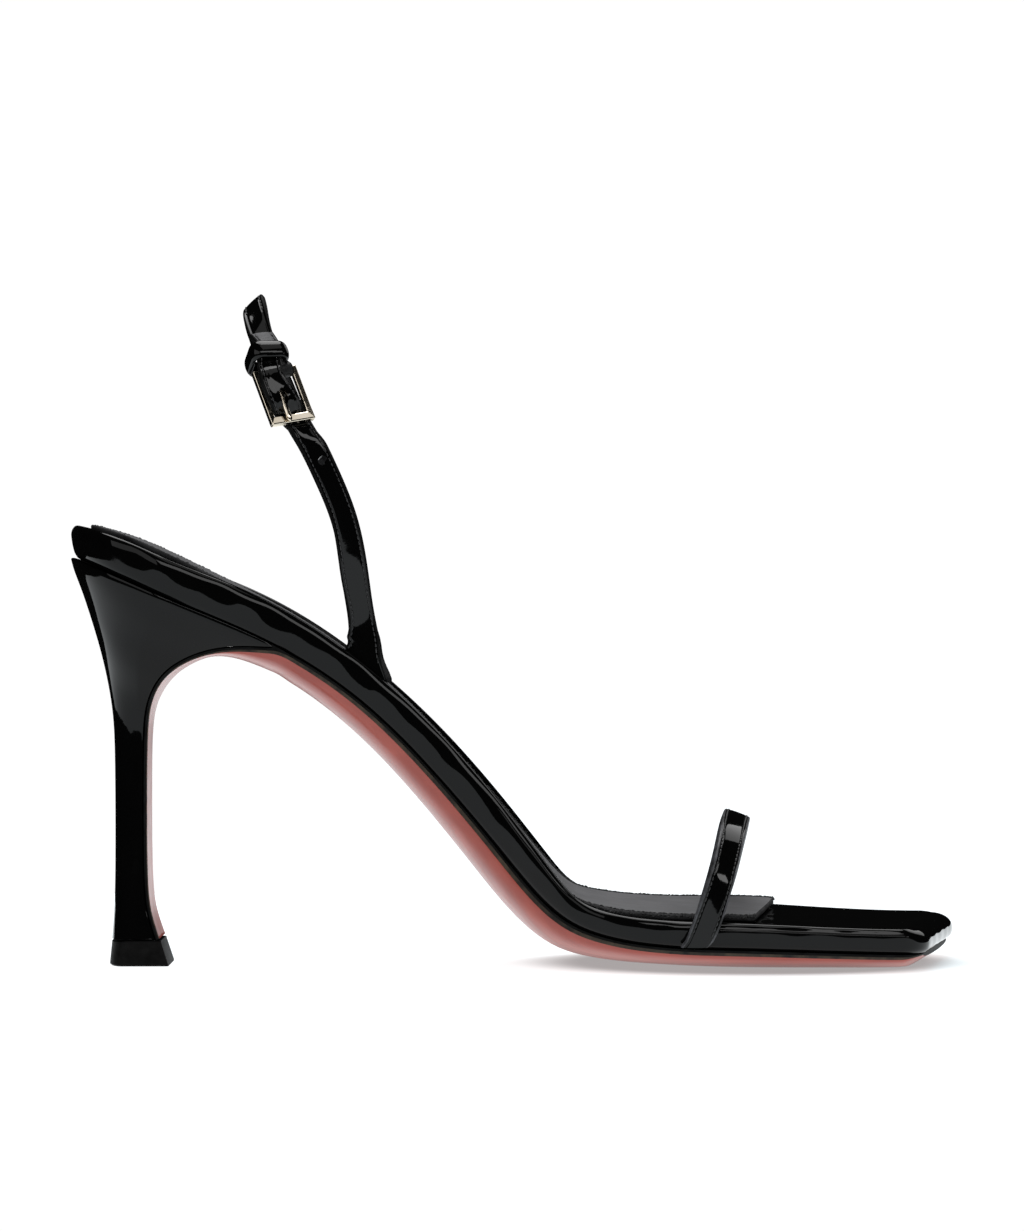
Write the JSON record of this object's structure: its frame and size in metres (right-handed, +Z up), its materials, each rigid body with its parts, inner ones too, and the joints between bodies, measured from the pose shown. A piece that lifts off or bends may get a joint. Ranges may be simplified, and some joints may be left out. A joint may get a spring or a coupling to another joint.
{
  "type": "heeled sandal",
  "caption": "Patent leather slingback sandal for the right foot with a square open toe, thin toe strap, buckled sling strap, flared high heel and leather sole.",
  "frame": {"origin": "middle of the bounding box in plan, on the floor plane that the heel tip and the forefoot stand on", "axes": "+X to the toe, +Y to the inner side of the foot, +Z up"},
  "size_m": [0.2078, 0.0794, 0.1559],
  "materials": {
    "patent_leather": "black patent, high gloss",
    "sole_leather": "terracotta red, satin",
    "sock_leather": "grey, matte, fine grain",
    "tip_rubber": "black, matte",
    "pale_gold": "pale gold plate, polished"
  },
  "bodies": {
    "root": {"outsole": "sole_leather", "footbed": "patent_leather", "sock": "sock_leather", "heel": "patent_leather", "top_piece": "tip_rubber", "toe_strap": "patent_leather", "sling_hole_strap": "patent_leather", "sling_back_strap": "patent_leather", "strap_keeper": "patent_leather", "buckle_frame": "pale_gold", "buckle_prong": "pale_gold"}
  },
  "joints": []
}
